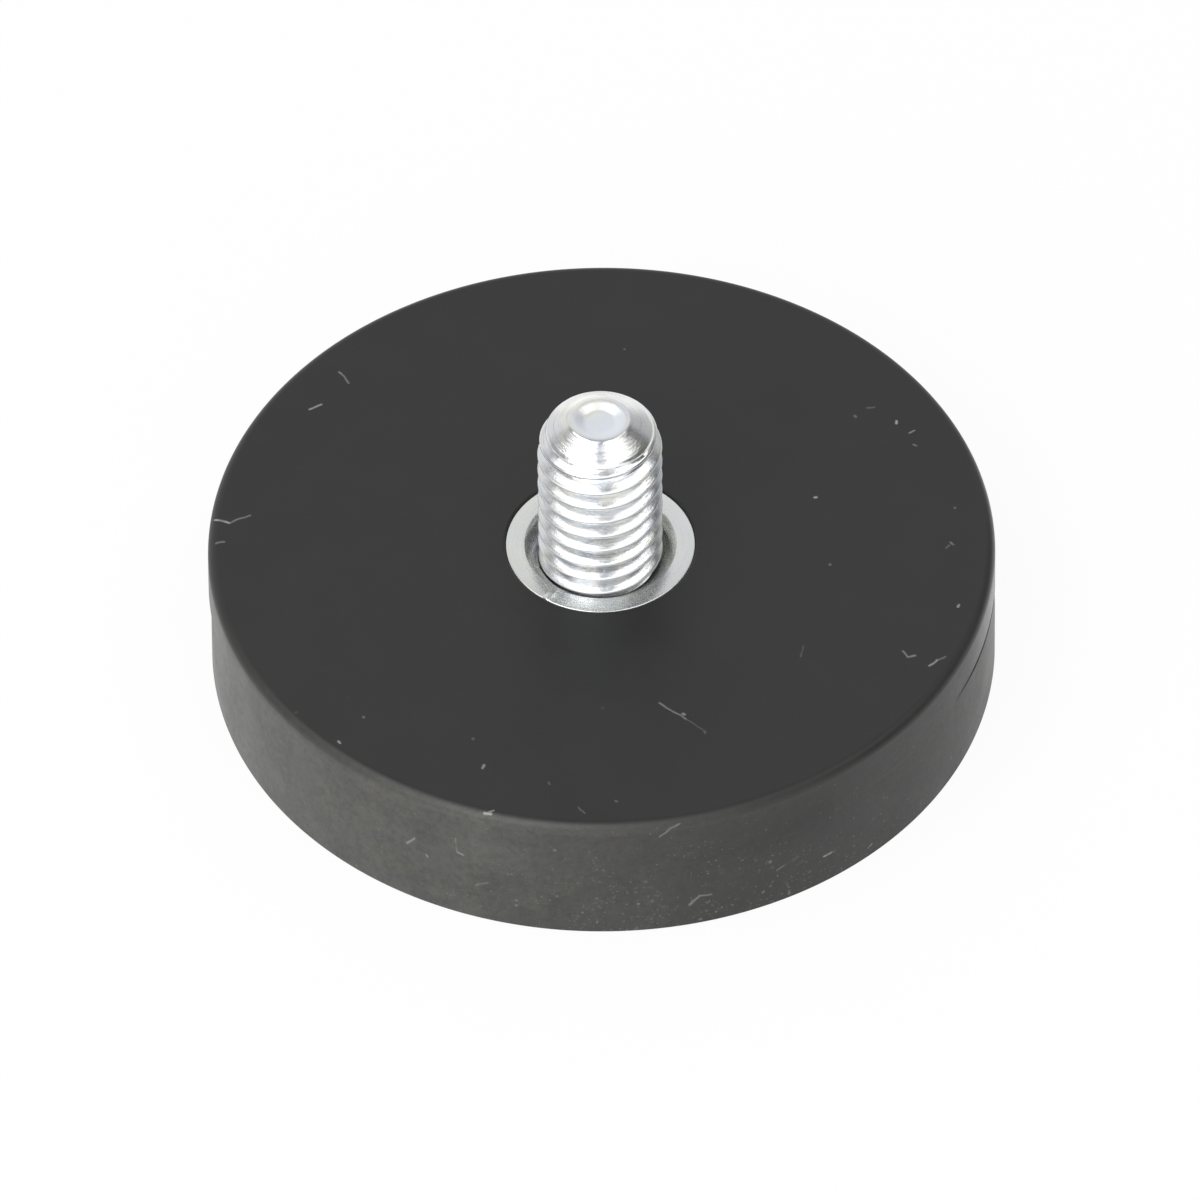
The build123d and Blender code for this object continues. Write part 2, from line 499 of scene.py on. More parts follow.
def addLint(tree, place):
    # all the fibres, a little bent
    bend = wander(tree, place, *rubberLook["lintBendNoise"])
    reach = (rubberLook["lintBend"],) * 3
    bent = vectorMaths(tree, "MULTIPLY_ADD", bend, reach, place)
    fluff = None
    for start, end, width, pale in lint.values():
        links = {"Vector": bent, "From": start, "To": end, "Width": width}
        fibre = maths(tree, "MULTIPLY", useGroup(tree, lintGroup, links)["Mask"], pale)
        fluff = maths(tree, "MAXIMUM", fluff, fibre) if fluff else fibre
    return fluff


def makeRubber():
    look = rubberLook
    material, tree = newMaterial("mouldedRubber")
    place = placeInMm(tree)
    x, y, z = axesOf(tree, place)
    outward = vectorMaths(tree, "NORMALIZE", joined(tree, x, y))
    cloud = spread(tree, noise(tree, place, *look["cloudNoise"]), *look["cloudRange"])
    colour = mixColours(tree, cloud, look["colour"], look["paleColour"])

    # pale haze on the wall, part dust and part painted light, mottled, patchy, and kept off one side as
    # painted shade
    start = spread(tree, x, *look["dustAndLightStartSides"], *look["dustAndLightStart"])
    start = maths(tree, "ADD", start, spread(tree, y, *look["frontSides"], 0.0, look["frontRise"]))
    wall = spread(tree, maths(tree, "SUBTRACT", start, z), 0.0, look["dustAndLightFade"])
    mottle = spread(tree, noise(tree, place, *look["mottleNoise"]), *look["mottleRange"], *look["mottle"])
    patches = spread(tree, noise(tree, place, *look["patchNoise"]), *look["patchRange"], *look["patches"])
    # painted shade: less of the pale haze towards one side
    shadedSide = towardsSide(tree, outward, look["shadedSide"], *look["shadedSideRange"])
    dustAndLight = maths(tree, "MULTIPLY", wall, spread(tree, shadedSide, 0.0, 1.0, 1.0, look["shadedSideShare"]))
    dustAndLight = maths(tree, "MULTIPLY", maths(tree, "MULTIPLY", dustAndLight, mottle), patches, clamp=True)

    # the parting line: a step in the wall, and along it a line kept free of the pale haze, a painted shade
    # in the crease
    step = spread(tree, z, *look["partingStep"])
    line = spread(tree, maths(tree, "PINGPONG", step, 0.5), 0.0, look["partingEdge"])
    partingShade = maths(tree, "MULTIPLY", line, spread(tree, x, *look["partingSide"]))
    step = maths(tree, "MULTIPLY", step, spread(tree, z, *look["partingRise"]))
    step = maths(tree, "MULTIPLY", step, spread(tree, x, *look["partingSlope"]))
    dustAndLight = maths(tree, "MULTIPLY", dustAndLight, maths(tree, "SUBTRACT", 1.0, partingShade))
    warmth = spread(tree, noise(tree, place, *look["warmNoise"]), *look["warmRange"])
    dustAndLightColour = mixColours(tree, warmth, look["dustAndLightColour"], look["warmDustAndLightColour"])
    colour = mixColours(tree, dustAndLight, colour, dustAndLightColour)

    # painted highlight on the rounded edge, mottled
    edgeHighlight = spread(tree, z, *look["edgeHighlightTop"])
    edgeHighlight = maths(tree, "MULTIPLY", edgeHighlight, spread(tree, z, *look["edgeHighlightBottom"]))
    edgeHighlightAmount = towardsSide(tree, outward, look["edgeHighlightSide"], *look["edgeHighlightRange"], *look["edgeHighlight"])
    edgeHighlight = maths(tree, "MULTIPLY", edgeHighlight, edgeHighlightAmount)
    edgeHighlight = maths(tree, "MULTIPLY", edgeHighlight, spread(tree, mottle, *look["mottle"], *look["edgeHighlightMottle"]))
    colour = mixColours(tree, edgeHighlight, colour, look["dustAndHighlightColour"])

    # specks: few on the top face, many on the front of the wall, most of them low
    crowd = spread(tree, noise(tree, place, *look["crowdNoise"]), *look["crowdRange"])
    frontal = towardsSide(tree, outward, look["specked"], *look["speckedRange"])
    low = spread(tree, z, *look["speckedHeights"])
    crowd = maths(tree, "MULTIPLY", maths(tree, "MULTIPLY", low, frontal), crowd)
    coarse = addSpecks(tree, place, look["coarseSpecks"], crowd)
    fine = addSpecks(tree, place, look["fineSpecks"], crowd)
    specks = maths(tree, "MULTIPLY", maths(tree, "MAXIMUM", coarse, fine), wall)
    specks = maths(tree, "MAXIMUM", specks, addSpecks(tree, place, look["topSpecks"]))
    colour = mixColours(tree, specks, colour, look["dustAndHighlightColour"])
    fluff = addLint(tree, place)
    colour = mixColours(tree, fluff, colour, look["lintColour"])

    rough = spread(tree, cloud, 0.0, 1.0, *look["roughness"])
    polished = spread(tree, x, *look["polishedSide"])
    changes = {
        "dustedAndLit": maths(tree, "MULTIPLY", mottle, wall),
        "shadedSide": maths(tree, "MULTIPLY", shadedSide, wall),
        "polished": maths(tree, "MULTIPLY", polished, spread(tree, z, *look["polishedAbove"])),
        "parting": partingShade,
        "dusty": maths(tree, "MAXIMUM", specks, fluff),
    }
    for name, mask in changes.items():
        rough = maths(tree, "MULTIPLY_ADD", mask, look["changedRoughness"][name], rough)
    normal = bumped(tree, step, look["partingDepth"])
    normal = bumped(tree, noise(tree, place, *look["grainNoise"]), look["grainDepth"], normal)
    shader = addNode(tree, "ShaderNodeBsdfPrincipled", {
        "Base Color": colour, "Roughness": rough, "Normal": normal,
        "Sheen Weight": look["sheen"], "Sheen Roughness": look["sheenRoughness"]})
    addNode(tree, "ShaderNodeOutputMaterial", {"Surface": shader.outputs[0]})
    return material


# bright zinc of the rolled stud
studZincLook = {
    "blueColour": (0.79, 0.82, 0.88, 1),
    "warmColour": (0.90, 0.90, 0.86, 1),
    "tintNoise": (0.9, 3.0, 0.6),  # where the zinc is warmer
    "tintRange": (0.35, 0.65),
    "roughness": (0.16, 0.28),
    "roughnessNoise": (5.0, 3.0),
    "roughnessRange": (0.3, 0.7),
    "streakColour": (0.60, 0.60, 0.63, 1),  # tool marks round the cone
    "streaks": {"Scale": 7.0, "Rise": -1.0, "Breakup": 0.10},
    "streakRange": (0.52, 0.75, 0.0, 0.8),
    "streakDepth": 0.005,  # mm
    "dentNoise": (9.0, 3.0),
    "dentDepth": 0.004,  # mm
    "crestRoughness": 0.55,  # rolling leaves the crests rougher than the flanks ...
    "crestBand": (0.04, 0.01),  # ... starting and ending this far inside them, in mm
    "dishReflectionColour": (0.90, 0.95, 1.0, 1),  # the dish is pressed smooth, without tool marks; its paler, bluer colour is a painted reflection
    "dishReflectionEdge": 0.5,
    "dishRoughness": 0.40,
    "dishRoughnessEdge": 0.6,
    "tipHighlightColour": (1.0, 1.0, 0.96, 1),  # a painted highlight, a paler patch on the tip
    "tipHighlight": ((-0.40, 0.90, 13.0), 0.9),  # its middle and radius in mm
}


def makeStudZinc():
    look = studZincLook
    material, tree = newMaterial("studZinc")
    place = placeInMm(tree)
    radius = vectorMaths(tree, "LENGTH", vectorMaths(tree, "MULTIPLY", place, (1, 1, 0)), output="Value")
    tint = spread(tree, noise(tree, place, *look["tintNoise"]), *look["tintRange"])
    colour = mixColours(tree, tint, look["blueColour"], look["warmColour"])
    turned = spread(tree, radius, stud["dishRadius"], stud["tipRadius"])
    streaks = useGroup(tree, turnedGroup, {"Vector": place, **look["streaks"]})["Height"]
    streaks = maths(tree, "MULTIPLY", streaks, turned)
    colour = mixColours(tree, spread(tree, streaks, *look["streakRange"]), colour, look["streakColour"])
    # painted reflection: the dish paler and bluer
    colour = mixColours(tree, spread(tree, turned, look["dishReflectionEdge"], 0.0), colour, look["dishReflectionColour"])
    # painted highlight on the tip
    middle, reach = look["tipHighlight"]
    away = vectorMaths(tree, "DISTANCE", place, middle, output="Value")
    colour = mixColours(tree, spread(tree, away, reach, reach / 2), colour, look["tipHighlightColour"])
    rough = noise(tree, place, *look["roughnessNoise"])
    rough = spread(tree, rough, *look["roughnessRange"], *look["roughness"])
    inner, outer = look["crestBand"]
    crest = spread(tree, radius, thread["crestRadius"] - inner, thread["crestRadius"] - outer)
    rough = spread(tree, crest, 0.0, 1.0, rough, look["crestRoughness"])
    rough = spread(tree, turned, look["dishRoughnessEdge"], 0.0, rough, look["dishRoughness"])
    dents = bumped(tree, noise(tree, place, *look["dentNoise"]), look["dentDepth"])
    finishMetal(tree, colour, rough, bumped(tree, streaks, look["streakDepth"], dents))
    return material


# zinc of the turned bush
bushZincLook = {
    "blueColour": (0.81, 0.83, 0.85, 1),
    "warmColour": (0.85, 0.86, 0.82, 1),
    "tintNoise": (0.5, 3.0, 0.6),
    "tintRange": (0.35, 0.65),
    "roughness": (0.20, 0.32),
    "grainNoise": (14.0, 3.0, 0.7),
    "grainRange": (0.3, 0.7),
    "grainDepth": 0.0025,  # mm
    "ringColour": (0.53, 0.53, 0.48, 1),  # tool marks, fine and faint on the face ...
    "faceRings": {"Scale": 11.0, "Rise": 1.0, "Breakup": 0.05},
    "faceRingRange": (0.45, 0.70),
    "faceRingShare": 0.12,
    "ringDepth": 0.005,  # mm
    "sinkRings": {"Scale": 4.5, "Rise": 1.0, "Breakup": 0.04},  # ... and coarse in the countersink
    "sinkRingRange": (0.44, 0.58),
    "sinkStart": (0.02, 0.08),  # mm below the face
    "recessShadeColour": (0.07, 0.07, 0.06, 1),  # painted shade low in the countersink
    "recessShadeStart": (0.30, 0.65),  # mm below the face
    "recessShade": 0.9,
}


def belowFace(tree, z, depths, *limits):
    start, end = depths
    return spread(tree, z, bush["face"] - start, bush["face"] - end, *limits)


def makeBushZinc():
    look = bushZincLook
    material, tree = newMaterial("bushZinc")
    place = placeInMm(tree)
    z = axesOf(tree, place)[2]
    tint = spread(tree, noise(tree, place, *look["tintNoise"]), *look["tintRange"])
    colour = mixColours(tree, tint, look["blueColour"], look["warmColour"])
    rings = useGroup(tree, turnedGroup, {"Vector": place, **look["faceRings"]})["Height"]
    faint = maths(tree, "MULTIPLY", spread(tree, rings, *look["faceRingRange"]), look["faceRingShare"])
    coarse = useGroup(tree, turnedGroup, {"Vector": place, **look["sinkRings"]})["Height"]
    coarse = spread(tree, coarse, *look["sinkRingRange"])
    coarse = maths(tree, "MULTIPLY", coarse, belowFace(tree, z, look["sinkStart"]))
    colour = mixColours(tree, maths(tree, "MAXIMUM", faint, coarse), colour, look["ringColour"])
    # painted shade deep in the countersink and the hole
    deep = belowFace(tree, z, look["recessShadeStart"], 0.0, look["recessShade"])
    colour = mixColours(tree, deep, colour, look["recessShadeColour"])
    grain = noise(tree, place, *look["grainNoise"])
    rough = spread(tree, grain, *look["grainRange"], *look["roughness"])
    grit = bumped(tree, grain, look["grainDepth"])
    finishMetal(tree, colour, rough, bumped(tree, rings, look["ringDepth"], grit))
    return material


plateSteelLook = {
    "darkColour": (0.42, 0.42, 0.43, 1),
    "paleColour": (0.56, 0.56, 0.56, 1),
    "stretch": (0.6, 9.0, 9.0),  # scale per mm, so the rolling marks run along X
    "markNoise": (1.0, 4.0, 0.6),
    "markRange": (0.3, 0.7),
    "markDepth": 0.004,  # mm
    "roughness": (0.32, 0.48),
}


def makePlateSteel():
    look = plateSteelLook
    material, tree = newMaterial("plateSteel")
    stretched = addNode(tree, "ShaderNodeMapping", {"Vector": placeInMm(tree), "Scale": look["stretch"]})
    marks = noise(tree, stretched.outputs[0], *look["markNoise"])
    colour = mixColours(tree, marks, look["darkColour"], look["paleColour"])
    rough = spread(tree, marks, *look["markRange"], *look["roughness"])
    finishMetal(tree, colour, rough, bumped(tree, marks, look["markDepth"]))
    return material


magnetNickelLook = {
    "darkColour": (0.66, 0.64, 0.60, 1),
    "paleColour": (0.74, 0.72, 0.68, 1),
    "tintNoise": (0.6, 3.0),
    "peelNoise": (3.0, 3.0),  # the plating's orange peel
    "peelRange": (0.3, 0.7),
    "peelDepth": 0.003,  # mm
    "roughness": (0.14, 0.22),
}


def makeMagnetNickel():
    look = magnetNickelLook
    material, tree = newMaterial("magnetNickel")
    place = placeInMm(tree)
    peel = noise(tree, place, *look["peelNoise"])
    tint = noise(tree, place, *look["tintNoise"])
    colour = mixColours(tree, tint, look["darkColour"], look["paleColour"])
    rough = spread(tree, peel, *look["peelRange"], *look["roughness"])
    finishMetal(tree, colour, rough, bumped(tree, peel, look["peelDepth"]))
    return material


# The jacket is a cylinder with cuts, bevels and a hollow.
jacketLow, jacketHigh = boxInMm("rubber_jacket")
jacket = {
    "sides": 320,
    "radius": jacketHigh.y,
    "bottom": jacketLow.z,
    "top": jacketHigh.z,
    "edgeRadius": 0.4,
    "edgeSteps": 10,
    "partingDepth": 2.0,  # parting line below the top
    "bulge": jacketHigh.x - jacketHigh.y,  # the upper half bulges this far on +X ...
    "mouldShift": jacketHigh.x - jacketHigh.y,  # ... and the lower mould half sat this far along +X
    "partingDraw": 0.06,  # the lower half draws in by this much at the sides ...
    "drawHeight": 1.6,  # ... over this height, up to the parting line ...
    "drawPower": 4,  # ... and hardly at all at the front and back
    "ledgeHeight": 0.03,
    "ledgeSides": 9.0,  # the ledge's edges are sharp beyond this x
    "bottomBevel": 0.1,
    "bottomSteps": 3,
    "mouthBevel": 0.12,
    "mouthSteps": 4,
    "sharpAngle": 35,  # degrees
    "roomOverlap": 0.05,  # mm that the rooms inside reach into each other
    "mouthReach": 1.0,  # mm that the bush's room reaches out of the top
    "plateSides": 192,
    "flangeSides": 128,
    "magnetSides": 96,
}


def makeJacket(material):
    radius, bottom, top = jacket["radius"], jacket["bottom"], jacket["top"]
    parting = top - jacket["partingDepth"]
    ledge = parting - jacket["ledgeHeight"]
    piece = addCylinder("rubberJacket", radius, bottom, top, jacket["sides"])
    openForEditing(piece, "EDGE")
    for height in (parting, ledge, parting - jacket["drawHeight"]):
        cutLevel(height)
    bevelRing(radius, top, jacket["edgeRadius"], jacket["edgeSteps"])
    bevelRing(radius, bottom, jacket["bottomBevel"], jacket["bottomSteps"])
    for height in (parting, ledge):
        pick("edges", lambda e: isRing(e, radius, height) and abs(e.verts[0].co.x) > jacket["ledgeSides"])
        bpy.ops.mesh.mark_sharp()
    bpy.ops.mesh.select_mode(type="VERT")
    pick("verts", lambda v: v.co.z > parting - tiny)
    stretch = 1 + jacket["bulge"] / (2 * radius)
    bpy.ops.transform.resize(value=(stretch, 1, 1), center_override=(-radius, 0, 0))
    doneEditing()
    drawInLowerHalf(piece, ledge)
    openForEditing(piece, "VERT")
    pick("verts", lambda v: v.co.z < ledge + tiny)
    slide(x=jacket["mouldShift"])
    doneEditing()
    hollowJacket(piece)
    openForEditing(piece, "EDGE")
    bevelRing(bush["bodyRadius"], top, jacket["mouthBevel"], jacket["mouthSteps"])
    doneEditing()
    finishPiece(piece, material, "rubber_jacket", jacket["sharpAngle"])


def drawInLowerHalf(piece, ledge):
    for vertex in piece.data.vertices:
        if near(vertex.co.z, ledge):
            side = (vertex.co.x / jacket["radius"]) ** jacket["drawPower"]
            inwards = jacket["partingDraw"] * side / jacket["radius"]
            vertex.co.x *= 1 - inwards
            vertex.co.y *= 1 - inwards


def hollowJacket(piece):
    # the room that the plate, the magnets and the bush take up inside the rubber
    plateLow, plateHigh = boxInMm("back_plate")
    roomTop = plateLow.z + jacket["roomOverlap"]
    roomBottom = plateHigh.z - jacket["roomOverlap"]
    mouthTop = jacket["top"] + jacket["mouthReach"]
    cutters = [
        addCylinder("plateRoom", plateHigh.x, plateLow.z, plateHigh.z, jacket["plateSides"]),
        addCylinder("flangeRoom", bush["flangeRadius"], bush["bottom"], roomTop, jacket["flangeSides"]),
        addCylinder("bodyRoom", bush["bodyRadius"], roomBottom, mouthTop, bush["sides"]),
    ]
    for node in sorted(frame["nodes"]):
        if node.startswith("magnet_"):
            low, high = boxInMm(node)
            radius = (high.x - low.x) / 2
            room = addCylinder(node + "Room", radius, low.z, roomTop, jacket["magnetSides"])
            room.location = ((low.x + high.x) / 2, (low.y + high.y) / 2, 0)
            makeOnly(room)
            bpy.ops.object.transform_apply(location=True, rotation=True, scale=True)
            cutters.append(room)
    for cutter in cutters:
        applyBoolean(piece, cutter, "DIFFERENCE")
        removeObject(cutter)


# the thread that the stud and the bush share, in mm
thread = {
    "pitch": 0.8,
    "flankAngle": 30,  # degrees, half of the angle between two flanks
    "crestRadius": 2.45,
    "rootRadius": 1.97,
    "pitchRadius": 2.19,  # where crest and groove are equally wide
    "crestHeight": 12.02,  # height of one crest at the front of the stud
    "stepsRound": 160,
    "roundSteps": 6,  # faces over each rounded crest and root
    "longestStep": 0.1,  # a longer edge of the profile is a flank, which gets ...
    "flankCuts": 4,  # ... this many cuts
}


def makeThreadBar(name, bottom, top, grow=0.0):
    # a closed bar with the thread on it, which reaches past bottom and top
    pitch = thread["pitch"]
    sharpHeight = pitch * math.cos(math.radians(thread["flankAngle"]))
    pitchRadius = thread["pitchRadius"] + grow
    crest = thread["crestHeight"] + pitch / 4  # the profile lies on +X, a quarter turn past the front
    crest -= math.ceil((crest + pitch - bottom) / pitch) * pitch
    turns = math.ceil((top + pitch / 2 - crest) / pitch)
    # a plane merged to one point is the start of the profile, which goes out, in and out again
    clearSelection()
    bpy.ops.mesh.primitive_plane_add(size=pitch, location=(pitchRadius, 0, crest - pitch / 4))
    piece = nameNew(name)
    openForEditing(piece, "VERT")
    bpy.ops.mesh.select_all(action="SELECT")
    bpy.ops.mesh.merge(type="CENTER")
    sides = (
        (sharpHeight / 2, pitch / 4),
        (-sharpHeight, pitch / 2),
        (sharpHeight / 2, pitch / 4),
    )
    for outward, upward in sides:
        bpy.ops.mesh.extrude_region_move(TRANSFORM_OT_translate={"value": (outward, 0, upward)})
    rounded = (
        (pitchRadius + sharpHeight / 2, thread["crestRadius"] + grow),
        (pitchRadius - sharpHeight / 2, thread["rootRadius"] + grow),
    )
    for sharp, blunt in rounded:
        pick("verts", lambda v: near(v.co.x, sharp))
        bpy.ops.mesh.bevel(
            offset=abs(sharp - blunt) * math.sqrt(3), segments=thread["roundSteps"],
            affect="VERTICES", clamp_overlap=False)
    pick("edges", lambda e: e.calc_length() > thread["longestStep"])
    bpy.ops.mesh.subdivide(number_cuts=thread["flankCuts"])
    doneEditing()
    screw = piece.modifiers.new("turns", "SCREW")
    screw.axis = "Z"
    screw.screw_offset = pitch
    screw.iterations = turns
    screw.steps = screw.render_steps = thread["stepsRound"]
    bpy.ops.object.modifier_apply(modifier=screw.name)
    openForEditing(piece, "EDGE")
    bpy.ops.mesh.select_all(action="SELECT")
    bpy.ops.mesh.remove_doubles(threshold=mergeDistance)
    # the two open ends are closed towards the axis
    for middle in (crest + pitch / 4, crest + pitch / 4 + turns * pitch):
        pick("edges", lambda e: e.is_boundary and abs(e.verts[0].co.z - middle) < pitch)
        bpy.ops.mesh.extrude_region_move()
        bpy.ops.transform.resize(value=(0, 0, 0), center_override=(0, 0, middle))
        bpy.ops.mesh.remove_doubles(threshold=mergeDistance)
    bpy.ops.mesh.select_all(action="SELECT")
    bpy.ops.mesh.normals_make_consistent(inside=False)
    doneEditing()
    return piece


# the bush, whose outline is that of its CAD node
bushLow, bushHigh = boxInMm("threaded_bush")
bush = {
    "sides": 256,
    "flangeRadius": bushHigh.x,
    "bodyRadius": 3.75,
    "bottom": bushLow.z,
    "face": bushHigh.z,
    "flangeTop": boxInMm("back_plate")[0].z,
    "countersinkRadius": 3.0,
    "holeRadius": 2.1,
    "holeFloor": boxInMm("threaded_stud")[0].z,
    "edgeBevel": 0.06,
    "edgeSteps": 4,
    "countersinkBevel": 0.03,
    "countersinkSteps": 3,
    "sharpAngle": 32,  # degrees
    "threadClearance": 0.03,
    "tapFloorGap": 0.02,  # the inner thread starts this far above the hole's floor ...
    "tapReach": 0.5,  # ... and its cutter reaches this far out of the face
    "tapSides": 64,
    "burrAngle": 235.0,  # a small burr on the outer edge, in degrees from +X
    "burrHalfWidth": 3.2,
    "burrRise": 0.06,
    "burrDepth": 0.1,  # how far in and down from the edge the metal moves with it
}


def raiseBurr(piece):
    inner = bush["bodyRadius"] - bush["burrDepth"]
    lowest = bush["face"] - bush["burrDepth"]
    for vertex in piece.data.vertices:
        if ringRadius(vertex.co) < inner or vertex.co.z < lowest:
            continue
        angle = math.degrees(math.atan2(vertex.co.y, vertex.co.x)) % 360
        share = max(0, 1 - abs(angle - bush["burrAngle"]) / bush["burrHalfWidth"])
        vertex.co.z += bush["burrRise"] * share


def makeBush(material):
    flange, body, sink = bush["flangeRadius"], bush["bodyRadius"], bush["countersinkRadius"]
    flangeTop, face, floor = bush["flangeTop"], bush["face"], bush["holeFloor"]
    depth = sink - bush["holeRadius"]  # as a 90 degree countersink has
    piece = addCylinder("threadedBush", flange, bush["bottom"], flangeTop, bush["sides"])
    openForEditing(piece, "FACE")
    pick("faces", lambda f: isLevel(f, flangeTop) and f.normal.z > 0)
    insetTo(flange, body)
    bpy.ops.mesh.extrude_region_move()
    slide(z=face - flangeTop)
    insetTo(body, sink)
    insetTo(sink, bush["holeRadius"], drop=depth)
    bpy.ops.mesh.extrude_region_move()
    slide(z=-(face - depth - floor))
    bpy.ops.mesh.select_mode(type="EDGE")
    bevelRing(body, face, bush["edgeBevel"], bush["edgeSteps"])
    bevelRing(sink, face, bush["countersinkBevel"], bush["countersinkSteps"])
    doneEditing()
    raiseBurr(piece)
    tap = makeThreadBar("tap", floor, face, bush["threadClearance"])
    reach = addCylinder(
        "tapReach", sink, floor + bush["tapFloorGap"], face + bush["tapReach"], bush["tapSides"])
    applyBoolean(tap, reach, "INTERSECT")
    applyBoolean(piece, tap, "DIFFERENCE")
    removeObject(reach)
    removeObject(tap)
    finishPiece(piece, material, "threaded_bush", bush["sharpAngle"])


# the stud: a thread bar cut to a blank with a cone and a dish
studLow, studHigh = boxInMm("threaded_stud")
stud = {
    "sides": 240,
    "bottom": studLow.z,
    "top": studHigh.z,
    "sharpAngle": 32,  # degrees
    "innerBevel": 0.4,  # at the inner end
    "shoulderSoftness": 0.16,  # over which the cone turns into the thread
    "clearRadius": 2.6,  # radius of the blank, outside the crests
    "coneHeight": 0.65,
    "coneWidth": 1.0,
    "coneClearance": 0.03,  # how far the blank's cone stays outside the thread's own
    "leastCone": 0.3,  # radius at which the thread's own cone stops narrowing
    "tipRadius": 1.2,
    "tipRound": 0.1,
    "tipSteps": 6,
    "dishRadius": 1.0,
    "dishFloorRadius": 0.6,
    "dishDepth": 0.2,
    "fullThreadTop": 11.5,  # above this height the thread hasn't filled out ...
    "threadEnd": 12.3,
    "crestLoss": 0.2,  # ... and has lost this much by the end of it
    "coreRange": (12.05, 12.38),  # between these heights the root fills up ...
    "coreRise": 0.18,  # ... by this much
}


def softLower(first, second, softness):
    # the lower of two values, with a rounded corner where they cross
    share = max(0, 1 - abs(first - second) / softness)
    return min(first, second) - share * share * softness / 4


def easeThreadEnd(piece):
    # the last turn of a rolled thread isn't filled out, and it ends in the cone
    slope = stud["coneWidth"] / stud["coneHeight"]
    low, high = stud["coreRange"]
    for vertex in piece.data.vertices:
        radius, height = ringRadius(vertex.co), vertex.co.z
        if height < stud["fullThreadTop"] or radius < thread["rootRadius"] / 2:
            continue
        share = (height - stud["fullThreadTop"]) / (stud["threadEnd"] - stud["fullThreadTop"])
        shrunk = radius - stud["crestLoss"] * share
        rise = min(1, max(0, (height - low) / (high - low)))
        core = thread["rootRadius"] + stud["coreRise"] * rise * rise * (3 - 2 * rise)
        cone = max(stud["leastCone"], stud["tipRadius"] + (stud["top"] - height) * slope)
        body = -softLower(-shrunk, -core, stud["shoulderSoftness"] / 2)
        wanted = softLower(body, cone, stud["shoulderSoftness"])
        vertex.co.x *= wanted / radius
        vertex.co.y *= wanted / radius


def makeStud(material):
    bottom, top, clear = stud["bottom"], stud["top"], stud["clearRadius"]
    dish, dishFloor = stud["dishRadius"], stud["dishFloorRadius"]
    tip = stud["tipRadius"] + stud["coneClearance"]
    coneStart = top - (clear - tip) * (stud["coneHeight"] / stud["coneWidth"])
    blank = addCylinder("studBlank", clear, bottom, coneStart, stud["sides"])
    openForEditing(blank, "FACE")
    pick("faces", lambda f: isLevel(f, coneStart))
    insetTo(clear, tip, drop=coneStart - top)
    insetTo(tip, dish)
    insetTo(dish, dishFloor, drop=stud["dishDepth"])
    bpy.ops.mesh.select_mode(type="EDGE")
    for radius, height in ((tip, top), (dish, top), (dishFloor, top - stud["dishDepth"])):
        bevelRing(radius, height, stud["tipRound"], stud["tipSteps"])
    bevelRing(clear, bottom, stud["innerBevel"] + clear - thread["pitchRadius"], 1)
    doneEditing()
    piece = makeThreadBar("threadedStud", bottom, top)
    easeThreadEnd(piece)
    applyBoolean(piece, blank, "INTERSECT")
    removeObject(blank)
    finishPiece(piece, material, "threaded_stud", stud["sharpAngle"])


def dressNode(node, material):
    slots = frame["nodes"][node].data.materials
    slots.clear()
    slots.append(material)


print("frame loaded:", len(frame["nodes"]), "nodes")
makeJacket(makeRubber())
print("rubber jacket made")
makeBush(makeBushZinc())
print("threaded bush made")
makeStud(makeStudZinc())
print("threaded stud made")
dressNode("back_plate", makePlateSteel())
magnetNickel = makeMagnetNickel()
for node in frame["nodes"]:
    if node.startswith("magnet_"):
        dressNode(node, magnetNickel)
print("plate and magnets finished")

# floor, lamps and sky
studio = {
    "floorSize": 8.0,  # metres
    "floorDrop": 0.02,  # mm below the part, so that their faces don't coincide
    "floorColour": (0.88, 0.88, 0.88, 1),
    "floorGlow": 0.93,  # how much of the floor is seen as plain white
    "panelDistance": 0.6,  # metres
    "panels": {  # direction, size in metres, watts, turn in degrees
        "leftPanel": ((-0.425, -0.11, 0.89), (0.60, 0.24), 0.83, 8),
        "rightPanel": ((0.445, -0.11, 0.89), (0.60, 0.22), 0.68, -8),
        "frontPanel": ((-0.50, -0.69, 0.52), (0.50, 0.55), 1.82, 0),
    },
    "skyTop": 0.58,
    "skySides": (0.50, 0.17),  # left and right, where the room is darker ...
    "sideTurn": (-0.5, 0.5),  # ... blended over these x of the direction ...
    "sideEdge": (0.25, 0.5),  # ... and beginning this far to either side
    "skyBack": (1.0, 0.6),  # the pale backdrop behind the part, and its right end ...
    "backTurn": (0.2, 0.65),  # ... which lies over these x
    "backdrop": (0.2, 0.6),  # how fast the backdrop ends sideways and upwards
    "backEdge": (-0.1, 0.15),
    "skyFront": 1.5,  # a wide soft window behind the camera
    "windowEdge": (0.42, 0.60),
}


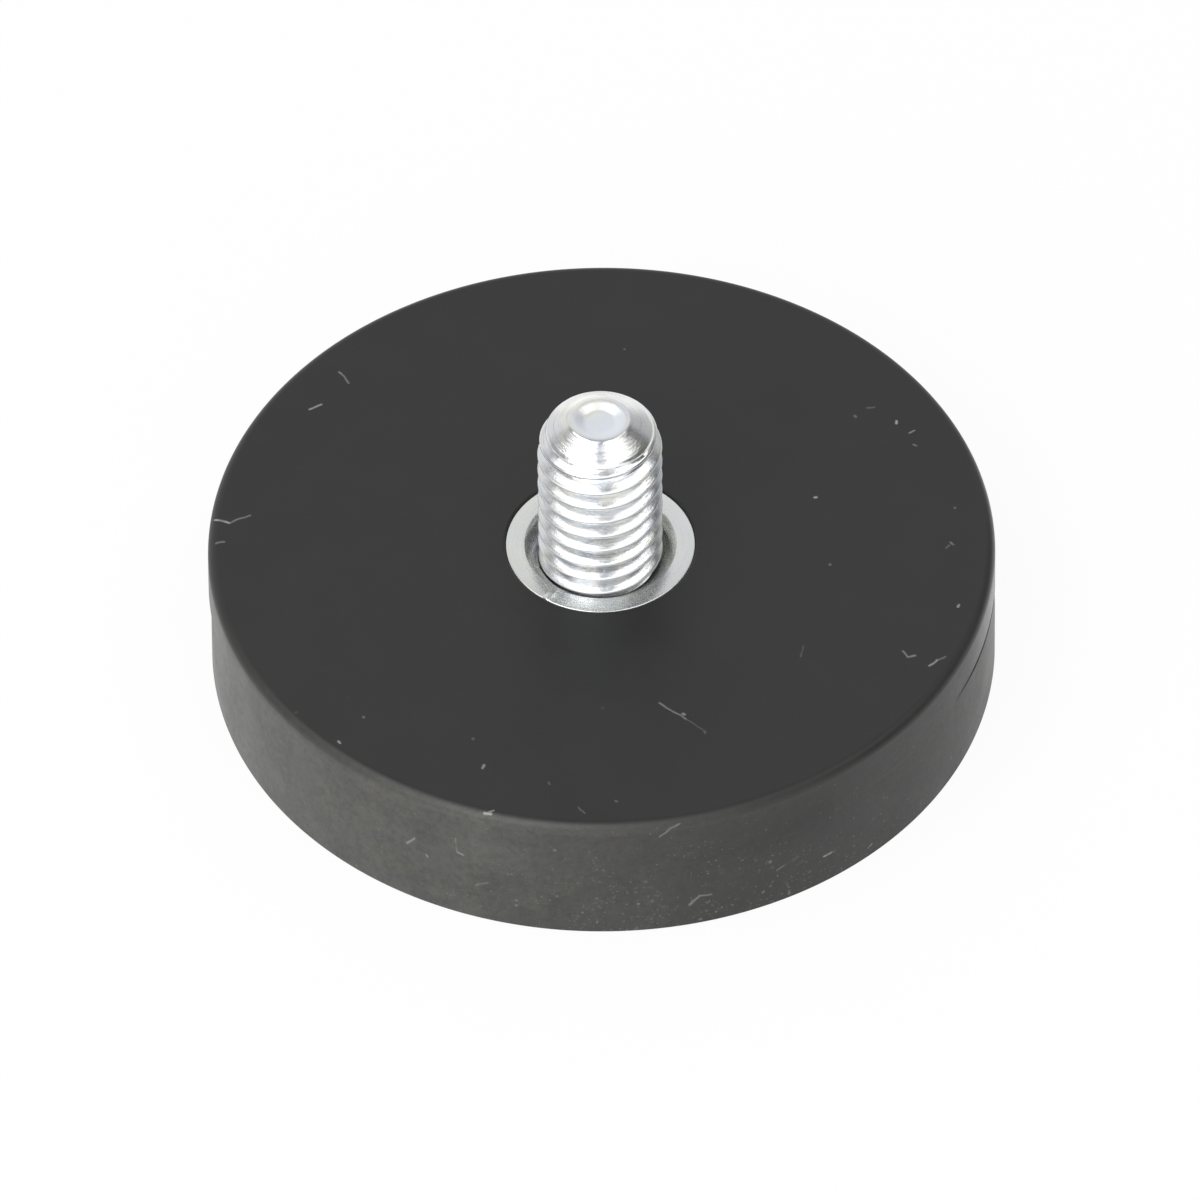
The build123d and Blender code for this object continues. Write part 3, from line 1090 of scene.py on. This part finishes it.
def makeFloor():
    clearSelection()
    bpy.ops.mesh.primitive_plane_add(size=studio["floorSize"], location=(0, 0, -studio["floorDrop"] * mm))
    floor = bpy.context.object
    floor.name = "studioFloor"
    material, tree = newMaterial("floorWhite")
    paint = addNode(tree, "ShaderNodeBsdfDiffuse", {"Color": studio["floorColour"]})
    glow = addNode(tree, "ShaderNodeEmission", {"Strength": 1.0})
    ray = addNode(tree, "ShaderNodeLightPath").outputs
    seen = maths(tree, "MAXIMUM", ray["Is Camera Ray"], ray["Is Glossy Ray"])
    seen = maths(tree, "MULTIPLY", seen, studio["floorGlow"])
    both = addNode(tree, "ShaderNodeMixShader", {0: seen, 1: paint.outputs[0], 2: glow.outputs[0]})
    # from below, the part's underside is seen through the floor
    back = addNode(tree, "ShaderNodeNewGeometry").outputs["Backfacing"]
    clear = addNode(tree, "ShaderNodeBsdfTransparent")
    surface = addNode(tree, "ShaderNodeMixShader", {0: back, 1: both.outputs[0], 2: clear.outputs[0]})
    addNode(tree, "ShaderNodeOutputMaterial", {"Surface": surface.outputs[0]})
    floor.data.materials.append(material)


def makeLamps():
    for name, (direction, size, watts, turn) in studio["panels"].items():
        lamp = bpy.data.lights.new(name, "AREA")
        lamp.shape = "RECTANGLE"
        lamp.size, lamp.size_y = size
        lamp.energy = watts
        holder = bpy.data.objects.new(name, lamp)
        bpy.context.scene.collection.objects.link(holder)
        aim = Vector(direction).normalized()
        holder.location = aim * studio["panelDistance"]
        facing = aim.to_track_quat("Z", "Y").to_matrix() @ Matrix.Rotation(math.radians(turn), 3, "Z")
        holder.rotation_euler = facing.to_euler()


def makeSky():
    world = bpy.data.worlds.new("studioSky")
    bpy.context.scene.world = world
    world.use_nodes = True
    tree = world.node_tree
    tree.nodes.clear()
    x, y, z = axesOf(tree, addNode(tree, "ShaderNodeTexCoord").outputs["Generated"])
    sideways = maths(tree, "ABSOLUTE", x)
    aside, upwards = studio["backdrop"]
    back = maths(tree, "SUBTRACT", y, maths(tree, "MULTIPLY", sideways, aside))
    back = maths(tree, "SUBTRACT", back, maths(tree, "MULTIPLY", z, upwards))
    sides = spread(tree, x, *studio["sideTurn"], *studio["skySides"])
    level = spread(tree, sideways, *studio["sideEdge"], studio["skyTop"], sides)
    backLevel = spread(tree, x, *studio["backTurn"], *studio["skyBack"])
    level = spread(tree, back, *studio["backEdge"], level, backLevel)
    front = maths(tree, "MULTIPLY", y, -1.0)
    level = spread(tree, front, *studio["windowEdge"], level, studio["skyFront"])
    sky = addNode(tree, "ShaderNodeBackground", {"Strength": level})
    plain = addNode(tree, "ShaderNodeBackground", {"Strength": 1.0})
    seen = addNode(tree, "ShaderNodeLightPath").outputs["Is Camera Ray"]
    both = addNode(tree, "ShaderNodeMixShader", {0: seen, 1: sky.outputs[0], 2: plain.outputs[0]})
    addNode(tree, "ShaderNodeOutputWorld", {"Surface": both.outputs[0]})


camera = {
    "distance": 1.2,  # metres
    "lens": 910.2,  # mm, as the sensor is
    "sensor": 36.0,
    "elevation": 45.97,  # degrees, as the roll is
    "roll": -0.418,
    "aim": (-0.033, 0.0, 2.754),  # mm
}


def makeCamera():
    data = bpy.data.cameras.new("productCamera")
    data.lens = camera["lens"]
    data.sensor_width = camera["sensor"]
    holder = bpy.data.objects.new("productCamera", data)
    bpy.context.scene.collection.objects.link(holder)
    elevation = math.radians(camera["elevation"])
    aim = Vector(camera["aim"]) * mm
    holder.location = aim + camera["distance"] * Vector((0, -math.cos(elevation), math.sin(elevation)))
    tilt = Matrix.Rotation(math.pi / 2 - elevation, 3, "X")
    holder.rotation_euler = (tilt @ Matrix.Rotation(math.radians(camera["roll"]), 3, "Z")).to_euler()
    bpy.context.scene.camera = holder


makeFloor()
makeLamps()
makeSky()
makeCamera()
bpy.context.scene.view_settings.view_transform = "Standard"
print("studio made")
